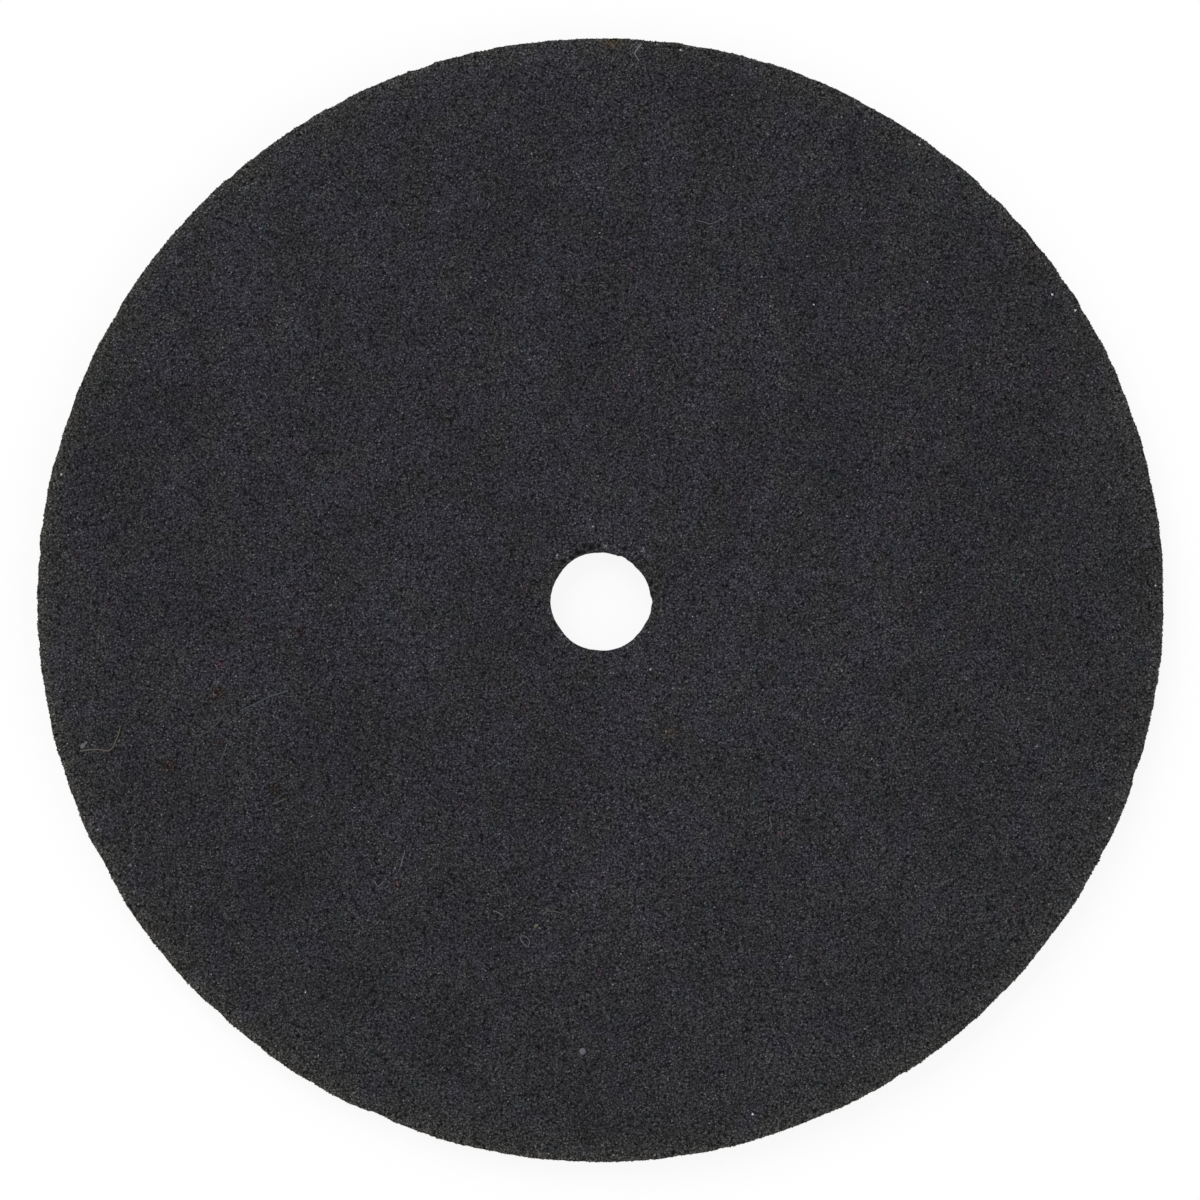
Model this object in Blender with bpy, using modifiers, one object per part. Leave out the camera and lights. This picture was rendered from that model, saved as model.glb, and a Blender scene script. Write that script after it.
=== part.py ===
"""A thin cut-off wheel: one resin-bonded abrasive disc with a plain bore.

The disc lies flat, as it rests on a bench, with its lower face on z = 0 and its own axis on the
z axis. It is one pressed and fired piece, with no mesh, label or bushing. It is turned from one
section, and then its edges crumble: wherever grains have broken out of the rim or the bore, a
shallow bowl is taken out of that edge.
"""

import math
import random

import bpy
import numpy as np

# Driving sizes, in metres
WHEEL_DIAMETER = 0.0220
BORE_DIAMETER = 0.00192
THICKNESS = 0.00070
RIM_CORNER = 0.000035
BORE_CORNER = 0.000025

# How far the wheel is from a true circle, in metres, and towards which angle, in degrees
RIM_OVAL = 0.000015
RIM_OVAL_ANGLE = 11.0
BORE_OVAL = 0.000008
BORE_OVAL_ANGLE = 167.0
BORE_SHIFT_X = 0.000011
BORE_SHIFT_Y = -0.000031

# Grains broken out of each edge: how many bowls, and their half width and depth in metres
RIM_BREAKOUTS = 260
RIM_BREAKOUT_WIDTH = (0.00010, 0.00042)
RIM_BREAKOUT_DEPTH = (0.000006, 0.000028)
BORE_BREAKOUTS = 22
BORE_BREAKOUT_WIDTH = (0.00006, 0.00022)
BORE_BREAKOUT_DEPTH = (0.000005, 0.000016)

# Larger chips that show from above: angle in degrees, half width and depth in metres
RIM_CHIPS = (
    (61.0, 0.00060, 0.000026),
    (91.5, 0.00110, 0.000020),
    (175.5, 0.00022, 0.000034),
    (208.0, 0.00045, 0.000044),
    (227.0, 0.00030, 0.000034),
    (246.8, 0.00036, 0.000062),
    (290.0, 0.00120, 0.000020),
    (342.0, 0.00025, 0.000040),
)
BORE_CHIPS = (
    (0.0, 0.00012, 0.000044),
    (20.0, 0.00036, 0.000016),
    (63.0, 0.00011, 0.000026),
    (118.0, 0.00050, 0.000020),
    (180.0, 0.00056, 0.000024),
    (240.0, 0.00040, 0.000018),
    (290.0, 0.00050, 0.000018),
    (352.0, 0.00034, 0.000028),
)

TURNING_STEPS = 360
RIM_SEED = 7
BORE_SEED = 3


class Edge:
    """One round edge of the disc: the rim, which wears inwards, or the bore, which wears outwards."""

    def __init__(self, diameter, corner, outward, oval, oval_angle, shift=(0.0, 0.0)):
        self.radius = diameter / 2
        self.corner = corner
        self.outward = outward
        self.oval = oval
        self.oval_angle = math.radians(oval_angle)
        self.shift = shift
        self.bowls = []

    def add_chips(self, chips):
        """Each chip is a bowl right through the edge, at mid height."""
        for angle, half_width, depth in chips:
            self.bowls.append((math.radians(angle), half_width, depth, 0.5, 1.5))

    def add_breakouts(self, count, widths, depths, seed):
        """Bowls at random angles and heights: some notch one corner, and some go right through."""
        dice = random.Random(seed)
        for _ in range(count):
            angle = dice.uniform(0.0, math.tau)
            half_width = dice.uniform(*widths)
            depth = dice.uniform(*depths)
            height = dice.uniform(0.0, 1.0)
            reach = dice.uniform(0.4, 1.4)
            self.bowls.append((angle, half_width, depth, height, reach))

    def loss(self, angle, height):
        """How much of the edge is gone at an angle, and at a height as a share of the thickness."""
        lost = np.zeros_like(angle)
        for centre, half_width, depth, middle, reach in self.bowls:
            turn = (angle - centre + math.pi) % math.tau - math.pi
            along = turn * self.radius / half_width
            up = (height - middle) / reach
            lost = np.maximum(lost, depth * (1.0 - along ** 2 - up ** 2))
        return lost

    def worn_place(self, angle, radius, height):
        """The radius moves by the oval and the loss, and the whole edge by the shift."""
        swell = self.oval * np.cos(2.0 * (angle - self.oval_angle))
        worn = radius + swell - self.outward * self.loss(angle, height)
        return worn * np.cos(angle) + self.shift[0], worn * np.sin(angle) + self.shift[1]


def make_rim():
    rim = Edge(WHEEL_DIAMETER, RIM_CORNER, 1.0, RIM_OVAL, RIM_OVAL_ANGLE)
    rim.add_chips(RIM_CHIPS)
    rim.add_breakouts(RIM_BREAKOUTS, RIM_BREAKOUT_WIDTH, RIM_BREAKOUT_DEPTH, RIM_SEED)
    return rim


def make_bore():
    shift = (BORE_SHIFT_X, BORE_SHIFT_Y)
    bore = Edge(BORE_DIAMETER, BORE_CORNER, -1.0, BORE_OVAL, BORE_OVAL_ANGLE, shift)
    bore.add_chips(BORE_CHIPS)
    bore.add_breakouts(BORE_BREAKOUTS, BORE_BREAKOUT_WIDTH, BORE_BREAKOUT_DEPTH, BORE_SEED)
    return bore


def disc_section(rim, bore):
    """The closed section as (radius, z): out over the top face, down the rim and back to the bore."""
    return [
        (bore.radius + bore.corner, THICKNESS),
        (rim.radius - rim.corner, THICKNESS),
        (rim.radius, THICKNESS - rim.corner),
        (rim.radius, THICKNESS / 2),
        (rim.radius, rim.corner),
        (rim.radius - rim.corner, 0.0),
        (bore.radius + bore.corner, 0.0),
        (bore.radius, bore.corner),
        (bore.radius, THICKNESS - bore.corner),
    ]


def turn_section(name, section, collection):
    """Sweep a closed section once round the z axis with a Screw modifier, and apply it."""
    profile = bpy.data.meshes.new(name + "_section")
    corners = [(radius, 0.0, z) for radius, z in section]
    sides = [(i, (i + 1) % len(corners)) for i in range(len(corners))]
    profile.from_pydata(corners, sides, [])
    blank = bpy.data.objects.new(name, profile)
    collection.objects.link(blank)
    screw = blank.modifiers.new("Turn", "SCREW")
    screw.axis = "Z"
    screw.angle = math.tau
    screw.steps = TURNING_STEPS
    screw.render_steps = TURNING_STEPS
    screw.use_merge_vertices = True
    screw.merge_threshold = 0.000001
    evaluated = blank.evaluated_get(bpy.context.evaluated_depsgraph_get())
    turned = bpy.data.meshes.new_from_object(evaluated)
    blank.modifiers.clear()
    blank.data = turned
    turned.name = name
    bpy.data.meshes.remove(profile)
    return blank


def crumble_edges(mesh, rim, bore):
    """Move the rim's and the bore's points to their worn places. The two faces stay flat."""
    points = np.empty(len(mesh.vertices) * 3)
    mesh.vertices.foreach_get("co", points)
    points = points.reshape(-1, 3)
    radius = np.hypot(points[:, 0], points[:, 1])
    angle = np.arctan2(points[:, 1], points[:, 0])
    height = points[:, 2] / THICKNESS
    on_rim = radius > (rim.radius + bore.radius) / 2
    for edge, own in ((rim, on_rim), (bore, ~on_rim)):
        x, y = edge.worn_place(angle[own], radius[own], height[own])
        points[own, 0] = x
        points[own, 1] = y
    mesh.vertices.foreach_set("co", points.ravel())
    mesh.update()


def charcoal_abrasive():
    """Dark bluish grey grit in resin: rough, with no metal."""
    material = bpy.data.materials.new("charcoal_abrasive")
    material.use_nodes = True
    shader = material.node_tree.nodes["Principled BSDF"]
    shader.inputs["Base Color"].default_value = (0.028, 0.028, 0.032, 1.0)
    shader.inputs["Roughness"].default_value = 0.8
    shader.inputs["Metallic"].default_value = 0.0
    return material


def clear_scene():
    for old in list(bpy.data.objects):
        bpy.data.objects.remove(old, do_unlink=True)


def build_cut_off_wheel():
    clear_scene()
    collection = bpy.data.collections.new("cut_off_wheel")
    bpy.context.scene.collection.children.link(collection)
    rim = make_rim()
    bore = make_bore()
    disc = turn_section("abrasive_disc", disc_section(rim, bore), collection)
    crumble_edges(disc.data, rim, bore)
    disc.data.materials.append(charcoal_abrasive())
    disc.data.shade_smooth()
    disc.data.set_sharp_from_angle(angle=math.radians(30.0))
    return disc


build_cut_off_wheel()
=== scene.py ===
"""The looks of a small cut-off wheel: a thin dark disc of abrasive grains in resin, lying flat.

The bond is one closed surface carried round the disc's axis. Its rim and bore crumble as the solid's
do, only finer. Splinters of coarse and fine grit are set into it, each with a tone of its own. Lint,
dust, stains, the pits beside the bore, dark with painted shade, and the brightest grains, pale with
painted glints, lie where the photograph shows them.
"""

import itertools
import math
import random

import bpy
import numpy as np
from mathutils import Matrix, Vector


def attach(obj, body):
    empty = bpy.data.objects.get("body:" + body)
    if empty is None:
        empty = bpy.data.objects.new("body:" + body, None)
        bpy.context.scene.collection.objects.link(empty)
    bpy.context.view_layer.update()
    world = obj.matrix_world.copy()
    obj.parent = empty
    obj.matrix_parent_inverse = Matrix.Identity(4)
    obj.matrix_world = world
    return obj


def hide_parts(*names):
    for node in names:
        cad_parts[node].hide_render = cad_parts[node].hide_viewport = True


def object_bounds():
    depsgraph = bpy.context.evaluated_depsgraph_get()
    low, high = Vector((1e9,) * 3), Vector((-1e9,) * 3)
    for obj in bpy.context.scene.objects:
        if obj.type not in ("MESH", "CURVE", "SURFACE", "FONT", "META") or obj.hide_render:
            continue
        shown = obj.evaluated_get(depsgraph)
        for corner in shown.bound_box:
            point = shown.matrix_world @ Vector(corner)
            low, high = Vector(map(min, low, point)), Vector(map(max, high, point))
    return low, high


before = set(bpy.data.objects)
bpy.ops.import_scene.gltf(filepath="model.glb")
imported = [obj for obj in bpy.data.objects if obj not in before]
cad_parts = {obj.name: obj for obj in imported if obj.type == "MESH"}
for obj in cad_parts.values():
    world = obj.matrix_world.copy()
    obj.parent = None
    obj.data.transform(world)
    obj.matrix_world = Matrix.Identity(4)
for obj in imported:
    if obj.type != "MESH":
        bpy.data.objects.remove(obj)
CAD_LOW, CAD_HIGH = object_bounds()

# The disc, in metres
DISC = "abrasive_disc"
THICKNESS = CAD_HIGH.z - CAD_LOW.z
WHEEL_DIAMETER = 0.0220
BORE_DIAMETER = 0.00192
RIM_CORNER = 0.000035
BORE_CORNER = 0.000025
BORE_SHIFT = (0.000011, -0.000031)
GRAIN_STAND = 0.000020  # how far the tallest grains stand out of the bond

# The photograph: its side, and the disc's mean diameter and centre, in pixels
PHOTO_SIDE = 1200
PHOTO_DISC = 1124.8
PHOTO_CENTRE = (600.44, 599.87)
MEAN_DIAMETER = 0.021936  # of the worn disc, in metres
PIXEL = MEAN_DIAMETER / PHOTO_DISC

# Wear of the two edges, as on the solid
RIM_OVAL = (0.000015, 11.0)  # how far the oval swells, and at how many degrees
BORE_OVAL = (0.000008, 167.0)
RIM_BREAKOUTS = (260, (0.00010, 0.00042), (0.000006, 0.000028), 7)  # count, half widths, depths, seed
BORE_BREAKOUTS = (22, (0.00006, 0.00022), (0.000005, 0.000016), 3)
BREAKOUT_REACH = (0.4, 1.4)  # up and down, as a share of the thickness
CHIP_MIDDLE = 0.5  # the height of a chip's middle, as a share of the thickness
CHIP_REACH = 1.5  # up and down from there
RIM_CHIPS = (  # degrees, half width, depth
    (61.0, 0.00060, 0.000026),
    (91.5, 0.00110, 0.000020),
    (175.5, 0.00022, 0.000034),
    (208.0, 0.00045, 0.000044),
    (227.0, 0.00030, 0.000034),
    (246.8, 0.00036, 0.000062),
    (290.0, 0.00120, 0.000020),
    (342.0, 0.00025, 0.000040),
)
BORE_CHIPS = (
    (0.0, 0.00012, 0.000044),
    (20.0, 0.00036, 0.000016),
    (63.0, 0.00011, 0.000026),
    (118.0, 0.00050, 0.000020),
    (180.0, 0.00056, 0.000024),
    (240.0, 0.00040, 0.000018),
    (290.0, 0.00050, 0.000018),
    (352.0, 0.00034, 0.000028),
)


def from_photo(pixels, z):
    """Places at a height on the disc, from pixels of the photograph."""
    column, row = np.array(pixels, float).T
    x, y = (column - PHOTO_CENTRE[0]) * PIXEL, (PHOTO_CENTRE[1] - row) * PIXEL
    return np.stack([x, y, np.full_like(x, z)], axis=-1)


# Noise: whole numbers that scatter a place and a seed, then rounds that mix their bits
PLACE_FACTORS = np.array([73856093, 19349663, 83492791])
SEED_FACTOR = 374761393
HASH_ROUNDS = ((13, 1274126177), (16, 668265263))  # shift and factor
HASH_TOP = 0xFFFFFFFF  # the largest value that a hash can have


def lattice_noise(points, cell, seed):
    """Smooth noise from -1 to 1: each corner of a cubic lattice has a random value, hashed from its
    whole-number place, and the values are blended across each cell with the curve 3t2 - 2t3."""
    grid = points / cell
    low = np.floor(grid).astype(np.int64)
    blend = grid - low
    blend = blend * blend * (3.0 - 2.0 * blend)
    total = np.zeros(len(points))
    for corner in itertools.product((0, 1), repeat=3):
        mixed = (low + corner) @ PLACE_FACTORS + seed * SEED_FACTOR
        for shift, factor in HASH_ROUNDS:
            mixed = ((mixed ^ (mixed >> shift)) * factor) & HASH_TOP
        weight = np.prod(np.where(corner, blend, 1.0 - blend), axis=1)
        total += weight * (2.0 * mixed / HASH_TOP - 1.0)
    return total


class Edge:
    """The rim, which wears inwards, or the bore, which wears outwards. Its loss at an angle and height
    is the deepest of many bowls: depth times one less the squares of the distances from its middle."""

    def __init__(self, diameter, corner, outward, oval, chips, breakouts, shift=(0.0, 0.0)):
        self.radius = diameter / 2
        self.corner = corner
        self.outward = outward
        self.oval, self.oval_angle = oval[0], math.radians(oval[1])
        self.shift = shift
        self.bowls = [
            (math.radians(angle), width, depth, CHIP_MIDDLE, CHIP_REACH) for angle, width, depth in chips
        ]
        count, widths, depths, seed = breakouts
        dice = random.Random(seed)
        for _ in range(count):
            angle = dice.uniform(0.0, math.tau)
            width = dice.uniform(*widths)
            depth = dice.uniform(*depths)
            height = dice.uniform(0.0, 1.0)
            self.bowls.append((angle, width, depth, height, dice.uniform(*BREAKOUT_REACH)))

    def loss(self, angle, height):
        """How deep the edge is worn."""
        lost = np.zeros_like(angle)
        for centre, width, depth, middle, reach in self.bowls:
            turn = (angle - centre + math.pi) % math.tau - math.pi
            bowl = 1.0 - (turn * self.radius / width) ** 2 - ((height - middle) / reach) ** 2
            lost = np.maximum(lost, depth * bowl)
        return lost

    def step(self, angle, height):
        """How far the worn edge lies outside its nominal circle, along the radius."""
        swell = self.oval * np.cos(2.0 * (angle - self.oval_angle))
        return swell - self.outward * self.loss(angle, height)


RIM = Edge(WHEEL_DIAMETER, RIM_CORNER, 1.0, RIM_OVAL, RIM_CHIPS, RIM_BREAKOUTS)
BORE = Edge(BORE_DIAMETER, BORE_CORNER, -1.0, BORE_OVAL, BORE_CHIPS, BORE_BREAKOUTS, BORE_SHIFT)
EDGE_REACH = 0.0006  # how far an edge's wear draws the faces with it


def worn(angle, radius, z):
    """Points of the disc at an angle, nominal radius and height, moved with the worn edges."""
    height = z / THICKNESS
    near_rim = np.clip(1.0 - (RIM.radius - radius) / EDGE_REACH, 0.0, 1.0)
    near_bore = np.clip(1.0 - (radius - BORE.radius) / EDGE_REACH, 0.0, 1.0)
    moved = radius + near_rim * RIM.step(angle, height) + near_bore * BORE.step(angle, height)
    x = moved * np.cos(angle) + near_bore * BORE.shift[0]
    y = moved * np.sin(angle) + near_bore * BORE.shift[1]
    return np.stack([x, y, z], axis=-1)


def mesh_object(name, points, faces, material, smooth):
    """A piece made of all its points and its three- or four-sided faces, given as whole arrays."""
    sides = faces.shape[1]
    mesh = bpy.data.meshes.new(name)
    mesh.vertices.add(len(points))
    mesh.vertices.foreach_set("co", points.astype(np.float32).ravel())
    mesh.loops.add(faces.size)
    mesh.loops.foreach_set("vertex_index", faces.astype(np.int32).ravel())
    mesh.polygons.add(len(faces))
    mesh.polygons.foreach_set("loop_start", np.arange(0, faces.size, sides, dtype=np.int32))
    mesh.polygons.foreach_set("use_smooth", np.full(len(faces), smooth))
    mesh.update(calc_edges=True)
    mesh.materials.append(material)
    piece = bpy.data.objects.new(name, mesh)
    bpy.context.scene.collection.objects.link(piece)
    return piece


# The bond

AROUND = 1400  # points in each ring
FACE_RINGS = 9
WALL_RINGS = 10
CORNER_RINGS = 3
WALL_ROUGHNESS = 0.000013
WALL_NOISE = ((0.6, 0.000070, 1), (0.4, 0.000160, 2))  # share, cell and seed of each layer


def bond_section():
    """The disc's closed section, as radius, height and outward direction at each station: out over the
    upper face with rings that crowd towards both edges, down the rim, back below, and up the bore."""
    low, high = GRAIN_STAND, THICKNESS - GRAIN_STAND
    spread = 0.5 - 0.5 * np.cos(np.linspace(0.0, math.pi, FACE_RINGS))
    inner, outer = BORE.radius + BORE.corner, RIM.radius - GRAIN_STAND - RIM.corner
    face = inner + (outer - inner) * spread
    quarter = np.linspace(0.0, math.pi / 2, CORNER_RINGS + 2)[1:-1]
    rim_wall = np.linspace(high - RIM.corner, low + RIM.corner, WALL_RINGS)
    bore_wall = np.linspace(low + BORE.corner, high - BORE.corner, WALL_RINGS)
    rim_out, rim_in = RIM.corner * np.sin(quarter), RIM.corner * (1.0 - np.cos(quarter))
    bore_out, bore_in = BORE.corner * np.sin(quarter), BORE.corner * (1.0 - np.cos(quarter))
    runs = [
        (face, np.full_like(face, high), np.full_like(face, math.pi / 2)),
        (outer + rim_out, high - rim_in, math.pi / 2 - quarter),
        (np.full_like(rim_wall, outer + RIM.corner), rim_wall, np.zeros_like(rim_wall)),
        (outer + rim_out[::-1], low + rim_in[::-1], -quarter),
        (face[::-1], np.full_like(face, low), np.full_like(face, -math.pi / 2)),
        (inner - bore_out, low + bore_in, -math.pi / 2 - quarter),
        (np.full_like(bore_wall, inner - BORE.corner), bore_wall, np.full_like(bore_wall, math.pi)),
        (inner - bore_out[::-1], high - bore_in[::-1], math.pi - quarter),
    ]
    return [np.concatenate(column) for column in zip(*runs)]


def make_bond(material):
    """The whole surface of the pressed disc: its section carried round the axis, moved with the worn
    edges, and roughened along its outward direction where it isn't pressed flat."""
    radius, z, facing = bond_section()
    angle = np.arange(AROUND) * math.tau / AROUND
    angles, radii = np.meshgrid(angle, radius, indexing="ij")
    heights = np.broadcast_to(z, angles.shape)
    points = worn(angles, radii, heights).reshape(-1, 3)
    turn, tilt = angles.ravel(), np.broadcast_to(facing, angles.shape).ravel()
    on_wall = np.cos(tilt)
    outward = np.stack([on_wall * np.cos(turn), on_wall * np.sin(turn), np.sin(tilt)], axis=-1)
    rough = sum(share * lattice_noise(points, cell, seed) for share, cell, seed in WALL_NOISE)
    points = points + outward * (rough * WALL_ROUGHNESS * np.abs(on_wall))[:, None]
    stations = len(radius)
    here = np.arange(AROUND * stations).reshape(AROUND, stations)
    right = np.roll(here, -1, axis=1)
    faces = np.stack([here, right, np.roll(right, -1, axis=0), np.roll(here, -1, axis=0)], axis=-1)
    return mesh_object("bond", points, faces.reshape(-1, 4), material, True)


# Lint and dust, where the photograph shows them

ORANGE_TAN = (0.115, 0.096, 0.080, 1.0)
PALE_TAN = (0.114, 0.102, 0.078, 1.0)
PINKISH = (0.095, 0.078, 0.078, 1.0)
SLATE_BLUE = (0.088, 0.088, 0.100, 1.0)
DULL_BLUE = (0.073, 0.072, 0.078, 1.0)
DULL_GREY = (0.110, 0.106, 0.107, 1.0)
DUST_GREY = (0.118, 0.110, 0.110, 1.0)
DULL_OLIVE = (0.060, 0.060, 0.050, 1.0)
SILVER_GREY = (0.160, 0.155, 0.155, 1.0)
COOL_GREY = (0.118, 0.112, 0.128, 1.0)
FIBRES = (  # name, colour, radius in pixels at either end, and pixels of the photograph along it
    ("tan_fibre", ORANGE_TAN, (0.9, 0.55), (
        (80.3, 751.0), (85.0, 750.4), (92.0, 749.5), (100.0, 749.6), (107.0, 751.0), (111.5, 748.8),
        (114.0, 745.0), (116.0, 740.0), (118.5, 734.0), (120.3, 726.0),
    )),
    ("blue_fibre", SLATE_BLUE, (0.5, 0.65), (
        (239.9, 710.9), (249.3, 706.4), (261.0, 701.0), (268.0, 697.3), (277.0, 694.2), (288.0, 690.9),
    )),
    ("dull_blue_fibre", DULL_BLUE, (0.5, 0.5), (
        (192.5, 737.4), (205.0, 732.8), (211.0, 729.0), (217.7, 722.9), (226.3, 711.4),
    )),
    ("short_blue_fibre", SLATE_BLUE, (0.5, 0.6), ((220.8, 760.0), (224.3, 752.0), (226.6, 744.6))),
    ("pinkish_fibre", PINKISH, (0.8, 0.6), (
        (272.6, 803.6), (276.5, 803.1), (280.3, 801.0), (286.0, 798.6),
    )),
    ("rim_fibre", SILVER_GREY, (1.05, 0.35), (
        (641.3, 44.2), (638.5, 47.3), (635.8, 51.0), (635.0, 53.8), (636.5, 56.8), (639.0, 61.0),
    )),
    ("looped_fibre", DULL_GREY, (0.55, 0.55), (
        (521.6, 942.0), (520.4, 937.6), (523.5, 935.9), (528.2, 939.0), (529.4, 943.0), (527.2, 946.6),
        (523.4, 943.6), (521.4, 940.6),
    )),
    ("arched_fibre", DULL_GREY, (0.6, 0.35), (
        (542.8, 914.6), (547.0, 911.6), (553.0, 911.2), (559.4, 912.6),
    )),
    ("grey_fibre", DULL_GREY, (0.6, 0.9), (
        (404.9, 850.6), (403.7, 856.0), (402.0, 860.5), (401.0, 866.5),
    )),
    ("bent_fibre", DULL_GREY, (0.6, 0.6), (
        (372.7, 880.1), (376.0, 884.0), (378.4, 886.6), (380.4, 884.8), (383.2, 881.7),
    )),
    ("bowed_fibre", DULL_GREY, (0.45, 0.45), (
        (696.4, 220.4), (702.7, 221.9), (710.3, 223.6), (716.7, 221.6), (722.5, 218.4), (727.7, 215.5),
    )),
    ("hooked_fibre", DULL_GREY, (0.55, 0.55), (
        (769.8, 816.8), (769.9, 820.9), (771.3, 824.3), (770.8, 827.6), (767.6, 831.3),
    )),
    ("short_fibre", SILVER_GREY, (0.45, 0.45), ((493.3, 910.7), (497.8, 912.4), (502.7, 915.3))),
)
SPECKS = (  # name, colour, middle, half length and half width in pixels, and its turn in degrees
    ("pale_speck", DUST_GREY, (82.6, 746.0), (3.1, 2.2), 60.0),
    ("pale_speck_arm", DUST_GREY, (85.4, 743.2), (2.4, 1.3), 40.0),
    ("round_speck", COOL_GREY, (582.6, 1051.4), (3.4, 3.4), 0.0),
    ("tan_flake", PALE_TAN, (536.0, 925.8), (2.6, 1.7), 35.0),
    ("tan_flake_tail", PALE_TAN, (539.6, 928.3), (1.8, 1.1), -20.0),
    ("olive_speck", DULL_OLIVE, (547.4, 909.6), (2.0, 2.3), 0.0),
)
FIBRE_STEPS = 6  # along each stretch between two of a fibre's pixels
FIBRE_SIDES = 8
FIBRE_LIFT = 0.8  # how high a thin fibre's middle lies over the bond, in its own radii
SPECK_RINGS = 7
SPECK_SIDES = 24
SPECK_HEIGHT = 0.000010  # from a speck's middle to its top
SPECK_LOBES = 6  # round its waist
LOBE_DEPTH = 0.05  # as a share of its radius
LINT_CLEARANCE = 0.000030  # how far grains keep from lint, which would hide them


def smooth_path(corners):
    """A smooth line through its corners, cubic between each two, whose slope at a corner is half the
    way from the corner before to the corner after."""
    p = np.vstack([2 * corners[0] - corners[1], corners, 2 * corners[-1] - corners[-2]])
    before, start, end, after = (p[i:len(p) - 3 + i][:, None] for i in range(4))
    t = np.linspace(0.0, 1.0, FIBRE_STEPS, endpoint=False)[:, None]
    bend = 2 * before - 5 * start + 4 * end - after
    twist = 3 * start - before - 3 * end + after
    line = start + 0.5 * ((end - before) * t + bend * t ** 2 + twist * t ** 3)
    return np.vstack([line.reshape(-1, 3), corners[-1]])


def skin(rings, sides):
    """Triangles over rings of points and the two poles that close them. The points are the rings in
    their order, then the first ring's pole, then the last one's."""
    here = np.arange(rings * sides).reshape(rings, sides)
    right = np.roll(here, -1, axis=1)
    first, last = np.full(sides, rings * sides), np.full(sides, rings * sides + 1)
    runs = [
        (here[:-1], right[:-1], right[1:]),
        (here[:-1], right[1:], here[1:]),
        (right[0], here[0], first),
        (here[-1], right[-1], last),
    ]
    return np.concatenate([np.stack(run, axis=-1).reshape(-1, 3) for run in runs])


def make_fibre(name, radii, pixels, material):
    """A round tube along a smooth line, as thick at each place as the blend of its two end radii, that
    lies on the bond or, where it is thick, is pressed into it."""
    path = smooth_path(from_photo(pixels, THICKNESS))
    girth = np.linspace(*radii, len(path)) * PIXEL
    path[:, 2] = np.minimum(THICKNESS - GRAIN_STAND + FIBRE_LIFT * girth, THICKNESS - girth)
    along = np.gradient(path, axis=0)
    along /= np.linalg.norm(along, axis=1)[:, None]
    side = np.cross([0.0, 0.0, 1.0], along)
    above = np.cross(along, side)
    turn = (np.arange(FIBRE_SIDES) * math.tau / FIBRE_SIDES)[:, None]
    ring = np.cos(turn) * side[:, None] + np.sin(turn) * above[:, None]
    points = path[:, None] + girth[:, None, None] * ring
    ends = np.array([path[0] - girth[0] * along[0], path[-1] + girth[-1] * along[-1]])
    points = np.vstack([points.reshape(-1, 3), ends])
    return mesh_object(name, points, skin(len(path), FIBRE_SIDES), material, True)


def make_speck(name, pixel, halves, degrees, material):
    """A flattened ball with a slightly six-sided waist: the distance from its axis is the square root
    of the sine of the latitude's angle, so that its top is broad."""
    latitude = np.linspace(0.0, math.pi, SPECK_RINGS + 2)[1:-1][:, None]
    longitude = (np.arange(SPECK_SIDES) * math.tau / SPECK_SIDES)[None]
    reach = np.sqrt(np.sin(latitude)) * (1.0 + LOBE_DEPTH * np.cos(SPECK_LOBES * longitude)) * PIXEL
    x, y = halves[0] * reach * np.cos(longitude), halves[1] * reach * np.sin(longitude)
    z = np.broadcast_to(-SPECK_HEIGHT * np.cos(latitude), x.shape)
    cosine, sine = math.cos(math.radians(degrees)), math.sin(math.radians(degrees))
    middle = from_photo([pixel], THICKNESS - SPECK_HEIGHT)[0]
    points = np.stack([cosine * x - sine * y, sine * x + cosine * y, z], axis=-1).reshape(-1, 3)
    poles = np.array([[0.0, 0.0, -SPECK_HEIGHT], [0.0, 0.0, SPECK_HEIGHT]])
    points = middle + np.vstack([points, poles])
    return mesh_object(name, points, skin(SPECK_RINGS, SPECK_SIDES), material, True)


def clear_of_lint(places):
    """Which places on the upper face are free of lint and of the brightest grains."""
    free = np.ones(len(places), bool)
    lint = [(smooth_path(from_photo(pixels, 0.0)), max(radii)) for _, _, radii, pixels in FIBRES]
    lint += [(from_photo([pixel], 0.0), max(halves)) for _, _, pixel, halves, _ in SPECKS]
    lint += [(from_photo(BRIGHT_GRAINS, 0.0), BRIGHT_RADIUS)]
    for points, pixels in lint:
        for point in points:
            away = np.linalg.norm(places[:, :2] - point[:2], axis=1)
            free &= away > pixels * PIXEL + LINT_CLEARANCE
    return free


# The grains

# grains painted pale grey as glints
BRIGHT_GRAINS = (  # pixels of the photograph
    (752.5, 1114.5), (1155.5, 585.5), (1075.5, 310.5), (61.5, 474.5), (680.5, 49.5), (592.5, 526.5),
    (813.5, 304.5), (1052.5, 294.5), (919.5, 144.5), (305.5, 992.5), (650.5, 669.5), (1109.5, 818.5),
)
BRIGHT = (0.000029, 0.000036)  # the least and the largest size
BRIGHT_RADIUS = 2.0  # in pixels, kept free of other grains
BRIGHT_TONE_SPREAD = 0.1
BRIGHT_SEED = 241
GRAIN_CORNERS = np.array([[1, 1, 1], [-1, -1, 1], [-1, 1, -1], [1, -1, -1]]) / math.sqrt(3.0)
GRAIN_SIDES = np.array([[1, 2, 3], [0, 3, 2], [0, 1, 3], [0, 2, 1]])
CORNER_REACH = (0.55, 1.30)  # how far a corner lies from the grain's middle, as a share of its size
COARSE = (0.000024, 0.000040)
FINE = (0.000016, 0.000028)
FACE_GRAINS = 96000
RIM_GRAINS = 12000
BORE_GRAINS = 1200
GOLDEN_ANGLE = math.pi * (3.0 - math.sqrt(5.0))
JOSTLE = 0.25  # how far a grain strays from its even place, as a share of the spacing
WALL_MARGIN = 0.3  # how much of a wall's corner its grains leave free, as a share of the corner
TONE_SPREAD = 0.27
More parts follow.
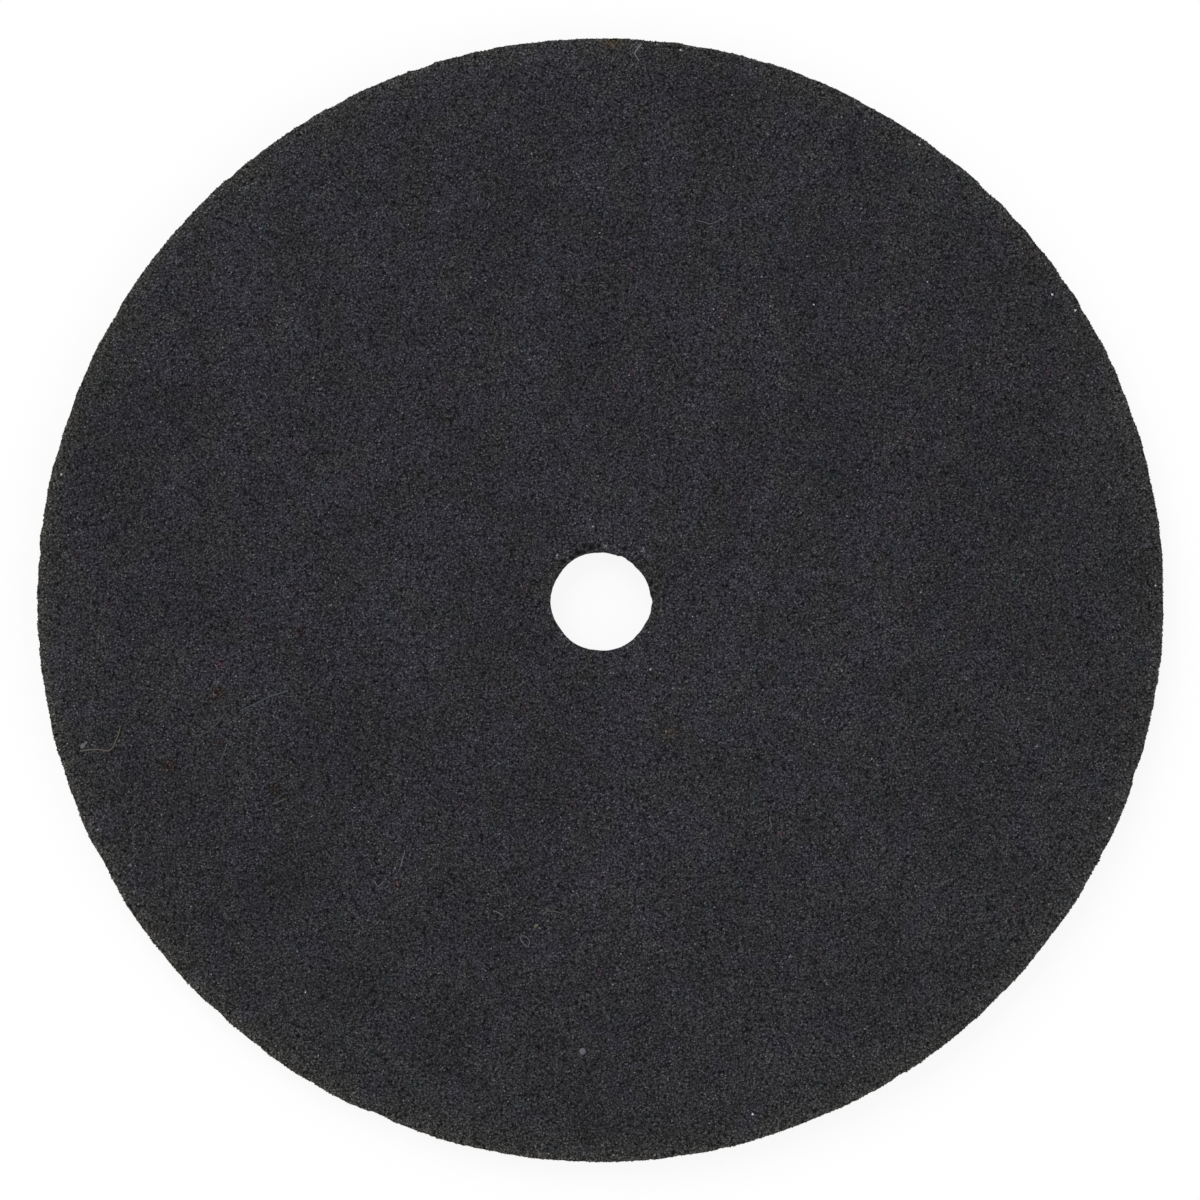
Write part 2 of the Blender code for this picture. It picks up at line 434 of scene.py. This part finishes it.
TONE_ATTRIBUTE = "grain_tone"
FLATTENED = 3.0 * GRAIN_STAND  # what a grain would reach if the plates hadn't pressed it flat
FACE_STANDS = (0.5 * GRAIN_STAND, FLATTENED)  # how far a grain's outermost corner stands out
RIM_STANDS = (0.4 * GRAIN_STAND, GRAIN_STAND)
BORE_STANDS = (0.0, 0.000008)
BRIGHT_STANDS = (2.0 * GRAIN_STAND, FLATTENED)
PRESS_PLAY = 0.000003  # how far under the faces a flattened grain may end
ROOTED = 0.000005  # how deep in the bond a grain's innermost corner lies at least


def random_turns(dice, count):
    """A random rotation matrix for each grain, from four normal draws made a unit quaternion."""
    q = dice.normal(size=(count, 4))
    w, x, y, z = (q / np.linalg.norm(q, axis=1)[:, None]).T
    rows = [
        1 - 2 * (y * y + z * z), 2 * (x * y - z * w), 2 * (x * z + y * w),
        2 * (x * y + z * w), 1 - 2 * (x * x + z * z), 2 * (y * z - x * w),
        2 * (x * z - y * w), 2 * (y * z + x * w), 1 - 2 * (x * x + y * y),
    ]
    return np.stack(rows, axis=1).reshape(count, 3, 3)


def make_grains(name, sizes, tone_spread, places, outward, stands, material, seed):
    """Splinters of grit: four corners at unlike distances from their middle, turned at random. Each is
    moved along its outward direction until its outermost corner stands a random height over its place,
    but no further than its root in the bond lets it. What would pass the disc's two faces is pressed
    flat, each grain a little under them."""
    dice = np.random.default_rng(seed)
    count, each = len(places), len(GRAIN_CORNERS)
    size = dice.uniform(*sizes, size=(count, 1, 1))
    spread = dice.uniform(*CORNER_REACH, size=(count, each, 1))
    turned = np.einsum("nij,nkj->nki", random_turns(dice, count), GRAIN_CORNERS * spread * size)
    reach = np.einsum("nki,ni->nk", turned, outward)
    lift = np.minimum(dice.uniform(*stands, count) - reach.max(axis=1), -reach.min(axis=1) - ROOTED)
    points = turned + (places + outward * lift[:, None])[:, None, :]
    play = dice.uniform(0.0, PRESS_PLAY, size=(count, 1))
    points[:, :, 2] = np.clip(points[:, :, 2], play, THICKNESS - play)
    faces = (GRAIN_SIDES + each * np.arange(count)[:, None, None]).reshape(-1, 3)
    piece = mesh_object(name, points.reshape(-1, 3), faces, material, False)
    tone = np.exp(dice.normal(0.0, tone_spread, count))
    attribute = piece.data.attributes.new(TONE_ATTRIBUTE, "FLOAT", "POINT")
    attribute.data.foreach_set("value", np.repeat(tone, each).astype(np.float32))
    return piece


def scatter_on_face(count, upward, seed):
    """Places over one face, first as evenly spaced as the seeds of a sunflower: each is a golden angle
    on from the last, and the square of the radius grows steadily. Then each is jostled."""
    dice = np.random.default_rng(seed)
    low, high = BORE.radius + BORE.corner, RIM.radius - GRAIN_STAND - RIM.corner
    order = dice.permutation(count) + 0.5
    spacing = math.sqrt(math.pi * (high ** 2 - low ** 2) / count)
    radius = np.sqrt(low ** 2 + (high ** 2 - low ** 2) * order / count)
    angle = order * GOLDEN_ANGLE + dice.normal(0.0, JOSTLE * spacing, count) / radius
    radius = np.clip(radius + dice.normal(0.0, JOSTLE * spacing, count), low, high)
    z = THICKNESS - GRAIN_STAND if upward else GRAIN_STAND
    places = worn(angle, radius, np.full(count, z))
    if upward:
        places = places[clear_of_lint(places)]
    return places, np.tile([0.0, 0.0, 1.0 if upward else -1.0], (len(places), 1))


def scatter_on_wall(count, edge, seed):
    """Places spread evenly over the rim's or the bore's wall and its two corners."""
    dice = np.random.default_rng(seed)
    angle = dice.uniform(0.0, math.tau, count)
    margin = GRAIN_STAND + WALL_MARGIN * edge.corner
    z = dice.uniform(margin, THICKNESS - margin, count)
    out = np.stack([np.cos(angle), np.sin(angle), np.zeros(count)], axis=-1) * edge.outward
    inset = GRAIN_STAND if edge is RIM else 0.0
    return worn(angle, np.full(count, edge.radius - inset), z), out


# Materials


def add(tree, kind, inputs=None, **settings):
    """A node with its settings, whose inputs are linked if given a socket, and set otherwise."""
    made = tree.nodes.new(kind)
    for key, value in settings.items():
        setattr(made, key, value)
    for key, value in (inputs or {}).items():
        if isinstance(value, bpy.types.NodeSocket):
            tree.links.new(value, made.inputs[key])
        else:
            made.inputs[key].default_value = value
    return made


def maths(tree, operation, first, second=0.0):
    """The outcome of an operation on one or two numbers."""
    return add(tree, "ShaderNodeMath", {0: first, 1: second}, operation=operation).outputs[0]


def vector_maths(tree, operation, first, second):
    """The outcome of an operation on two vectors or colours."""
    return add(tree, "ShaderNodeVectorMath", {0: first, 1: second}, operation=operation).outputs[0]


def scaled(tree, colour, level):
    """A colour times a number."""
    return add(tree, "ShaderNodeVectorMath", {0: colour, "Scale": level}, operation="SCALE").outputs[0]


def blended(tree, share, first, second):
    """The first colour, with a share of the second in its place."""
    return add(tree, "ShaderNodeMixRGB", {"Fac": share, "Color1": first, "Color2": second}).outputs[0]


def new_group(name, inputs, output):
    """A shader node group with named inputs and one output, and its input and output nodes' sockets."""
    tree = bpy.data.node_groups.new(name, "ShaderNodeTree")
    for label, kind, value in inputs:
        socket = tree.interface.new_socket(label, in_out="INPUT", socket_type=kind)
        if value is not None:
            socket.default_value = value
    tree.interface.new_socket(output[0], in_out="OUTPUT", socket_type=output[1])
    return tree, tree.nodes.new("NodeGroupInput").outputs, tree.nodes.new("NodeGroupOutput").inputs[0]


def mottling_group():
    """A colour whose tone changes like clouds."""
    tree, given, result = new_group("mottling", [
        ("Vector", "NodeSocketVector", None),
        ("Color", "NodeSocketColor", None),
        ("Swing", "NodeSocketFloat", 1.1),
        ("Scale", "NodeSocketFloat", 600.0),
    ], ("Color", "NodeSocketColor"))
    clouds = add(tree, "ShaderNodeTexNoise", {
        "Vector": given["Vector"], "Scale": given["Scale"], "Detail": 4.0, "Roughness": 0.7,
    })
    swing = maths(tree, "MULTIPLY", maths(tree, "SUBTRACT", clouds.outputs["Fac"], 0.5), given["Swing"])
    tree.links.new(scaled(tree, given["Color"], maths(tree, "ADD", 1.0, swing)), result)
    return tree


PATCH_EDGE = (0.41, 0.46)  # the noise at which a patch begins, and at which it is full


def patches_group():
    """A colour with soft-edged patches of another tint, which thin out with the square of the distance
    from the place where there are most of them."""
    tree, given, result = new_group("patches", [
        ("Vector", "NodeSocketVector", None),
        ("Color", "NodeSocketColor", None),
        ("Tint", "NodeSocketVector", (0.983, 0.936, 1.075)),
        ("Scale", "NodeSocketFloat", 1250.0),
        ("Middle", "NodeSocketVector", (0.0, 0.0, 0.0)),
        ("Thinning", "NodeSocketFloat", 0.0),
    ], ("Color", "NodeSocketColor"))
    noise = add(tree, "ShaderNodeTexNoise", {
        "Vector": given["Vector"], "Scale": given["Scale"], "Detail": 1.0, "Roughness": 0.5,
    })
    away = add(tree, "ShaderNodeVectorMath", {
        0: given["Vector"], 1: given["Middle"],
    }, operation="DISTANCE").outputs["Value"]
    thinned = maths(tree, "MULTIPLY", maths(tree, "POWER", away, 2.0), given["Thinning"])
    share = add(tree, "ShaderNodeMapRange", {
        "Value": maths(tree, "SUBTRACT", noise.outputs["Fac"], thinned),
        "From Min": PATCH_EDGE[0], "From Max": PATCH_EDGE[1],
    }, interpolation_type="SMOOTHSTEP")
    tinted = vector_maths(tree, "MULTIPLY", given["Color"], given["Tint"])
    tree.links.new(blended(tree, share.outputs[0], given["Color"], tinted), result)
    return tree


FLECK_EDGE = (0.45, 0.15)  # the distance, in cells, at which a fleck begins, and at which it is full


def flecks_group():
    """A colour with small, sparse flecks of two tints. A few cells of a cell pattern, picked by each
    cell's random colour, have one at their middle."""
    tree, given, result = new_group("flecks", [
        ("Vector", "NodeSocketVector", None),
        ("Color", "NodeSocketColor", None),
        ("Warm Tint", "NodeSocketVector", (1.15, 0.95, 0.98)),
        ("Cold Tint", "NodeSocketVector", (0.87, 1.05, 1.05)),
        ("Cell", "NodeSocketFloat", 0.00030),
        ("Share", "NodeSocketFloat", 0.10),
        ("Cold Share", "NodeSocketFloat", 0.6),
    ], ("Color", "NodeSocketColor"))
    cells = add(tree, "ShaderNodeTexVoronoi", {
        "Vector": given["Vector"], "Scale": maths(tree, "DIVIDE", 1.0, given["Cell"]),
    })
    dice = add(tree, "ShaderNodeSeparateColor", {"Color": cells.outputs["Color"]}).outputs
    picked = maths(tree, "LESS_THAN", dice[0], given["Share"])
    near = add(tree, "ShaderNodeMapRange", {
        "Value": cells.outputs["Distance"], "From Min": FLECK_EDGE[0], "From Max": FLECK_EDGE[1],
    }, interpolation_type="SMOOTHSTEP")
    cold = maths(tree, "LESS_THAN", dice[1], given["Cold Share"])
    tint = blended(tree, cold, given["Warm Tint"], given["Cold Tint"])
    tinted = vector_maths(tree, "MULTIPLY", given["Color"], tint)
    share = maths(tree, "MULTIPLY", picked, near.outputs[0])
    tree.links.new(blended(tree, share, given["Color"], tinted), result)
    return tree


def edge_paling_and_highlight_group():
    """How much paler the edges are, partly worn resin and partly painted highlight: a share at the rim
    and one at the bore, either of which falls to 1/e of it over a reach. The rim's share is multiplied
    by one plus the lit side's arrow along the radius, so that the painted highlight is larger on the
    side that the light comes from and smaller on the other."""
    tree, given, result = new_group("edge_paling", [
        ("Vector", "NodeSocketVector", None),
        ("Rim Radius", "NodeSocketFloat", RIM.radius),
        ("Rim Share", "NodeSocketFloat", 0.62),
        ("Rim Reach", "NodeSocketFloat", 0.00019),
        # the side that the light comes from, where the painted highlight at the rim is stronger
        ("Lit Side", "NodeSocketVector", (-0.28, -0.16, 0.0)),
        ("Bore Radius", "NodeSocketFloat", BORE.radius),
        ("Bore Share", "NodeSocketFloat", 0.18),
        ("Bore Reach", "NodeSocketFloat", 0.00029),
    ], ("Fac", "NodeSocketFloat"))
    flat = vector_maths(tree, "MULTIPLY", given["Vector"], (1.0, 1.0, 0.0))
    radius = add(tree, "ShaderNodeVectorMath", {0: flat}, operation="LENGTH").outputs["Value"]

    def faded(far, near, reach, share):
        """A share times e to the power of minus the depth over the reach."""
        depth = maths(tree, "MAXIMUM", maths(tree, "SUBTRACT", far, near), 0.0)
        power = maths(tree, "MULTIPLY", maths(tree, "DIVIDE", depth, reach), -1.0)
        return maths(tree, "MULTIPLY", share, maths(tree, "EXPONENT", power))

    outwards = add(tree, "ShaderNodeVectorMath", {0: flat}, operation="NORMALIZE").outputs[0]
    lean = add(tree, "ShaderNodeVectorMath", {
        0: outwards, 1: given["Lit Side"],
    }, operation="DOT_PRODUCT").outputs["Value"]
    rim_share = maths(tree, "MULTIPLY", given["Rim Share"], maths(tree, "ADD", 1.0, lean))
    rim = faded(given["Rim Radius"], radius, given["Rim Reach"], rim_share)
    bore = faded(radius, given["Bore Radius"], given["Bore Reach"], given["Bore Share"])
    tree.links.new(maths(tree, "MAXIMUM", rim, bore), result)
    return tree


RED = (1.40, 0.92, 0.96, 1.0)
RUST = (0.98, 0.68, 0.61, 1.0)
UMBER = (0.60, 0.51, 0.41, 1.0)
BROWN = (1.50, 1.20, 0.90, 1.0)
OLIVE = (0.92, 0.94, 0.76, 1.0)
TEAL = (0.96, 1.12, 1.06, 1.0)
STAINS = (  # pixel of the photograph, radius in pixels, colour by which the body is multiplied
    ((222, 664), 7, RED),
    ((397, 883), 6, RED),
    ((780, 834), 5, RED),
    ((170, 766), 11, RUST),
    ((300, 631), 8, RUST),
    ((219, 693), 10, RUST),
    ((220, 743), 6, RUST),
    ((274, 790), 10, UMBER),
    ((671, 734), 8, BROWN),
    ((613, 41), 12, BROWN),
    ((1060, 635), 9, OLIVE),
    ((269, 889), 8, OLIVE),
    ((549, 848), 8, TEAL),
    ((1110, 566), 9, TEAL),
)
# painted shade in pits and painted glints on single grains, as multipliers of the body colour
PAINTED_PIT_SHADE = (0.08, 0.08, 0.08, 1.0)
PAINTED_GLINT = (4.2, 4.2, 4.2, 1.0)
BORE_PIT_SHADE_AND_GLINTS = (  # beside the bore's top, in the same way: painted shade in the pits of lost grains, and painted glints on single grains
    ((591.5, 547.5), 5.2, PAINTED_PIT_SHADE),
    ((577.5, 552.5), 5.4, PAINTED_PIT_SHADE),
    ((585.0, 545.5), 3.6, PAINTED_PIT_SHADE),
    ((583.5, 551.5), 3.6, PAINTED_PIT_SHADE),
    ((563.5, 561.5), 4.6, PAINTED_PIT_SHADE),
    ((571.0, 557.5), 3.6, PAINTED_PIT_SHADE),
    ((598.5, 545.5), 3.4, PAINTED_PIT_SHADE),
    ((625.5, 548.5), 3.8, PAINTED_PIT_SHADE),
    ((651.5, 582.5), 3.6, PAINTED_PIT_SHADE),
    ((605.5, 546.5), 3.4, PAINTED_GLINT),
    ((557.5, 556.5), 3.2, PAINTED_GLINT),
    ((642.5, 550.5), 3.2, PAINTED_GLINT),
)
STAIN_CORE = 0.3  # the share of a stain's radius within which it is at its strongest


def grit_group():
    """The finest grit, too small to be modelled: tiny cells that each have a tone of their own, over
    wider grains with painted shade, pale in their middles and dark between them where shade falls."""
    tree, given, result = new_group("grit", [
        ("Vector", "NodeSocketVector", None),
        ("Cell", "NodeSocketFloat", 0.000024),
        ("Skew", "NodeSocketFloat", 2.2),
        ("Darkest", "NodeSocketFloat", 0.0),
        ("Palest", "NodeSocketFloat", 2.0),
        ("Relief Cell", "NodeSocketFloat", 0.000042),
        ("Relief Shade", "NodeSocketFloat", 2.5),
    ], ("Fac", "NodeSocketFloat"))
    fineness = maths(tree, "DIVIDE", 1.0, given["Cell"])
    cells = add(tree, "ShaderNodeTexVoronoi", {"Vector": given["Vector"], "Scale": fineness})
    share = add(tree, "ShaderNodeSeparateColor", {"Color": cells.outputs["Color"]}).outputs[0]
    share = maths(tree, "POWER", share, given["Skew"])
    tone = add(tree, "ShaderNodeMapRange", {
        "Value": share, "To Min": given["Darkest"], "To Max": given["Palest"],
    }).outputs[0]
    coarseness = maths(tree, "DIVIDE", 1.0, given["Relief Cell"])
    grains = add(tree, "ShaderNodeTexVoronoi", {"Vector": given["Vector"], "Scale": coarseness})
    # painted shade: each grain pale at its middle and darker towards its edge, where shade falls between
    # grains
    middle = maths(tree, "SUBTRACT", 0.5, grains.outputs["Distance"])
    painted_relief_shade = maths(tree, "ADD", 1.0, maths(tree, "MULTIPLY", middle, given["Relief Shade"]))
    tree.links.new(maths(tree, "MULTIPLY", tone, maths(tree, "MAXIMUM", painted_relief_shade, 0.0)), result)
    return tree


def stains_shade_and_glints_group():
    """A multiplier, white but for round stains, the painted shade of pits and the painted glints of
    single grains on the upper face, all of which fade out towards their edges."""
    tree, given, result = new_group("stains", [
        ("Vector", "NodeSocketVector", None),
    ], ("Color", "NodeSocketColor"))
    colour = (1.0, 1.0, 1.0, 1.0)
    for pixel, reach, tint in STAINS + BORE_PIT_SHADE_AND_GLINTS:
        centre = from_photo([pixel], THICKNESS)[0]
        away = add(tree, "ShaderNodeVectorMath", {0: given["Vector"], 1: centre}, operation="DISTANCE")
        near = add(tree, "ShaderNodeMapRange", {
            "Value": away.outputs["Value"],
            "From Min": reach * PIXEL, "From Max": STAIN_CORE * reach * PIXEL,
        }, interpolation_type="SMOOTHSTEP")
        colour = blended(tree, near.outputs[0], colour, tint)
    tree.links.new(colour, result)
    return tree


MOTTLING = mottling_group()
PATCHES = patches_group()
FLECKS = flecks_group()
EDGE_PALING_AND_HIGHLIGHT = edge_paling_and_highlight_group()
GRIT = grit_group()
STAINS_SHADE_AND_GLINTS = stains_shade_and_glints_group()
BODY = (0.0238, 0.0239, 0.0261, 1.0)  # charcoal, before its patches, flecks and clouds
# pale of worn resin at the edges, and painted highlight where the light catches them
PALE_EDGE_AND_HIGHLIGHT = (0.0530, 0.0505, 0.0430, 1.0)
BLUE_MIDDLE = (492, 433)  # pixel about which bluish patches are most common
BLUE_THINNING = 1000.0
# painted glint: the pale base colour of the brightest grains
GLINT_GREY = (0.44, 0.44, 0.45)
GRAIN_LEVEL = 1.8  # how much paler the grains are than the bond
PORE_CELL = 0.000034
PORE_DEPTH = 0.000020


def use_group(tree, group, inputs):
    """What a group puts out for these inputs. Its own values hold for the others."""
    return add(tree, "ShaderNodeGroup", inputs, node_tree=group).outputs[0]


def grain_tone(tree):
    """The tone that was drawn for each grain."""
    return add(tree, "ShaderNodeAttribute", attribute_name=TONE_ATTRIBUTE).outputs["Fac"]


def new_material(name, roughness, specular):
    """A material, its nodes, its shader and the place on the object."""
    material = bpy.data.materials.new(name)
    material.use_nodes = True
    tree = material.node_tree
    shader = tree.nodes["Principled BSDF"]
    shader.inputs["Roughness"].default_value = roughness
    shader.inputs["Specular IOR Level"].default_value = specular
    return material, tree, shader, add(tree, "ShaderNodeTexCoord").outputs["Object"]


def body_colour(tree, place):
    """The colour that bond and grains share: clouded charcoal with bluish patches and a few flecks,
    paler at the edges with worn resin and painted highlight, and stained."""
    patched = use_group(tree, PATCHES, {
        "Vector": place, "Color": BODY, "Middle": from_photo([BLUE_MIDDLE], THICKNESS)[0],
        "Thinning": BLUE_THINNING,
    })
    flecked = use_group(tree, FLECKS, {"Vector": place, "Color": patched})
    mottled = use_group(tree, MOTTLING, {"Vector": place, "Color": flecked})
    # paler edges: partly worn resin, partly painted highlight where the light catches the corners
    paled = blended(tree, use_group(tree, EDGE_PALING_AND_HIGHLIGHT, {"Vector": place}), mottled, PALE_EDGE_AND_HIGHLIGHT)
    # stains, with painted shade in the pits and painted glints beside the bore
    return vector_maths(tree, "MULTIPLY", paled, use_group(tree, STAINS_SHADE_AND_GLINTS, {"Vector": place}))


def bond_material():
    """Dark resin full of fine grit, with pores in it."""
    material, tree, shader, place = new_material("resin_bond", roughness=0.7, specular=0.08)
    tone = use_group(tree, GRIT, {"Vector": place, "Darkest": 0.44, "Palest": 2.28})
    tree.links.new(scaled(tree, body_colour(tree, place), tone), shader.inputs["Base Color"])
    cells = add(tree, "ShaderNodeTexVoronoi", {"Vector": place, "Scale": 1 / PORE_CELL})
    bump = add(tree, "ShaderNodeBump", {
        "Height": cells.outputs["Distance"], "Strength": 0.6, "Distance": PORE_DEPTH,
    }, invert=True)
    tree.links.new(bump.outputs[0], shader.inputs["Normal"])
    return material


def grain_material():
    """Dark carbide grains with flat facets. Each has its own tone, and finer grit clings to it."""
    material, tree, shader, place = new_material("carbide_grains", roughness=0.45, specular=0.12)
    speckle = use_group(tree, GRIT, {"Vector": place, "Darkest": 0.44, "Palest": 2.08})
    level = maths(tree, "MULTIPLY", maths(tree, "MULTIPLY", grain_tone(tree), GRAIN_LEVEL), speckle)
    tree.links.new(scaled(tree, body_colour(tree, place), level), shader.inputs["Base Color"])
    return material


def glint_material():
    """Grains of grit whose pale grey base colour is a painted glint, with a little gloss of their own.
    """
    material, tree, shader, _ = new_material("glint_grains", roughness=0.3, specular=0.3)
    tree.links.new(scaled(tree, GLINT_GREY, grain_tone(tree)), shader.inputs["Base Color"])
    return material


def lint_material(name, colour):
    """Dull fibre or dust, its tone and hue uneven along it."""
    material, tree, shader, place = new_material(name, roughness=0.9, specular=0.05)
    patched = use_group(tree, PATCHES, {
        "Vector": place, "Color": colour, "Tint": (0.85, 0.95, 1.0), "Scale": 12000.0,
    })
    uneven = use_group(tree, MOTTLING, {"Vector": place, "Color": patched, "Scale": 20000.0})
    tree.links.new(uneven, shader.inputs["Base Color"])
    return material


BOND_LOOK = bond_material()
GRAIN_LOOK = grain_material()

FACES = (("upper", True, 11), ("lower", False, 21))  # name, whether it looks up, and seed
GRADES = (("coarse", COARSE), ("fine", FINE))
WALLS = (  # name, edge, how many grains, how far they stand out, and seed
    ("rim_grit", RIM, RIM_GRAINS, RIM_STANDS, 31),
    ("bore_grit", BORE, BORE_GRAINS, BORE_STANDS, 41),
)

pieces = [make_bond(BOND_LOOK)]
for label, upward, seed in FACES:
    places, outward = scatter_on_face(FACE_GRAINS, upward, seed)
    for turn, (grade, sizes) in enumerate(GRADES):  # the grades share the places by turns
        pieces.append(make_grains(
            f"{label}_{grade}_grit", sizes, TONE_SPREAD, places[turn::len(GRADES)],
            outward[turn::len(GRADES)], FACE_STANDS, GRAIN_LOOK, seed + turn,
        ))
for name, edge, count, stands, seed in WALLS:
    places, outward = scatter_on_wall(count, edge, seed)
    pieces.append(make_grains(name, COARSE, TONE_SPREAD, places, outward, stands, GRAIN_LOOK, seed))
places = from_photo(BRIGHT_GRAINS, THICKNESS - GRAIN_STAND)
outward = np.tile([0.0, 0.0, 1.0], (len(places), 1))
pieces.append(make_grains(
    "glint_grit", BRIGHT, BRIGHT_TONE_SPREAD, places, outward, BRIGHT_STANDS, glint_material(),
    BRIGHT_SEED,
))
for name, colour, radii, pixels in FIBRES:
    pieces.append(make_fibre(name, radii, pixels, lint_material(name, colour)))
for name, colour, pixel, halves, turn in SPECKS:
    pieces.append(make_speck(name, pixel, halves, turn, lint_material(name, colour)))
for piece in pieces:
    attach(piece, "root")
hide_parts(DISC)


# The stage

WORLD_LIGHT = 0.6
FLOOR_COLOUR = (0.94, 0.94, 0.94, 1.0)
FLOOR_WHITE = 0.88  # how much of the floor the camera sees as plain white
FLOOR_HALF = 1.0  # half its side
FLOOR_HEIGHT = -0.000002
LAMPS = (  # name, azimuth and elevation in degrees, distance, side, watts
    ("key", 125.0, 48.0, 0.60, 0.40, 1.92),
    ("fill", -35.0, 42.0, 0.60, 0.40, 0.80),
)


def seen_directly(tree):
    """1 for rays from the camera, a mirror or a window, and 0 for the light on the object."""
    path = add(tree, "ShaderNodeLightPath").outputs
    some = maths(tree, "MAXIMUM", path["Is Camera Ray"], path["Is Glossy Ray"])
    return maths(tree, "MAXIMUM", some, path["Is Transmission Ray"])


def make_floor():
    """A matt floor that the camera sees as nearly plain white, but for the shadows on it."""
    material = bpy.data.materials.new("pale_floor")
    material.use_nodes = True
    tree = material.node_tree
    shader = tree.nodes["Principled BSDF"]
    shader.inputs["Base Color"].default_value = FLOOR_COLOUR
    shader.inputs["Roughness"].default_value = 1.0
    shader.inputs["Specular IOR Level"].default_value = 0.0
    glow = add(tree, "ShaderNodeEmission", {"Strength": 1.0})
    whitened = maths(tree, "MULTIPLY", seen_directly(tree), FLOOR_WHITE)
    mix = add(tree, "ShaderNodeMixShader", {0: whitened, 1: shader.outputs[0], 2: glow.outputs[0]})
    tree.links.new(mix.outputs[0], tree.nodes["Material Output"].inputs["Surface"])
    corners = FLOOR_HALF * np.array([[-1, -1, 0], [1, -1, 0], [1, 1, 0], [-1, 1, 0]])
    corners[:, 2] = FLOOR_HEIGHT
    floor = mesh_object("floor", corners, np.array([[0, 1, 2, 3]]), material, False)


def make_world():
    """White to the camera, and a dimmer white as the light on the object."""
    world = bpy.data.worlds.new("soft_white")
    bpy.context.scene.world = world
    world.use_nodes = True
    tree = world.node_tree
    direct = seen_directly(tree)
    strength = add(tree, "ShaderNodeMapRange", {"Value": direct, "To Min": WORLD_LIGHT, "To Max": 1.0})
    back = tree.nodes["Background"]
    back.inputs["Color"].default_value = (1.0, 1.0, 1.0, 1.0)
    tree.links.new(strength.outputs[0], back.inputs["Strength"])


def softbox(name, azimuth, elevation, distance, side, watts):
    """A square lamp that looks at the disc from an azimuth, of which 0 is the photograph's right, and
    from an elevation over the floor."""
    lamp = bpy.data.lights.new(name, "AREA")
    lamp.shape = "SQUARE"
    lamp.size = side
    lamp.energy = watts
    holder = bpy.data.objects.new(name, lamp)
    bpy.context.scene.collection.objects.link(holder)
    turn, rise = math.radians(azimuth), math.radians(elevation)
    away = distance * math.cos(rise)
    holder.location = (away * math.cos(turn), away * math.sin(turn), distance * math.sin(rise))
    holder.rotation_euler = (math.pi / 2 - rise, 0.0, turn + math.pi / 2)


def make_camera():
    """Straight above the disc, with the photograph's top towards +Y."""
    lens = bpy.data.cameras.new("camera")
    lens.lens = 200.0
    lens.sensor_width = 36.0
    lens.clip_start = 0.005
    lens.clip_end = 10.0
    eye = bpy.data.objects.new("camera", lens)
    bpy.context.scene.collection.objects.link(eye)
    view = PHOTO_SIDE * PIXEL
    middle = from_photo([(PHOTO_SIDE / 2, PHOTO_SIDE / 2)], THICKNESS)[0]
    eye.location = middle + np.array([0.0, 0.0, view * lens.lens / lens.sensor_width])
    bpy.context.scene.camera = eye


make_floor()
make_world()
for lamp in LAMPS:
    softbox(*lamp)
make_camera()

view_settings = bpy.context.scene.view_settings
view_settings.view_transform = "Standard"
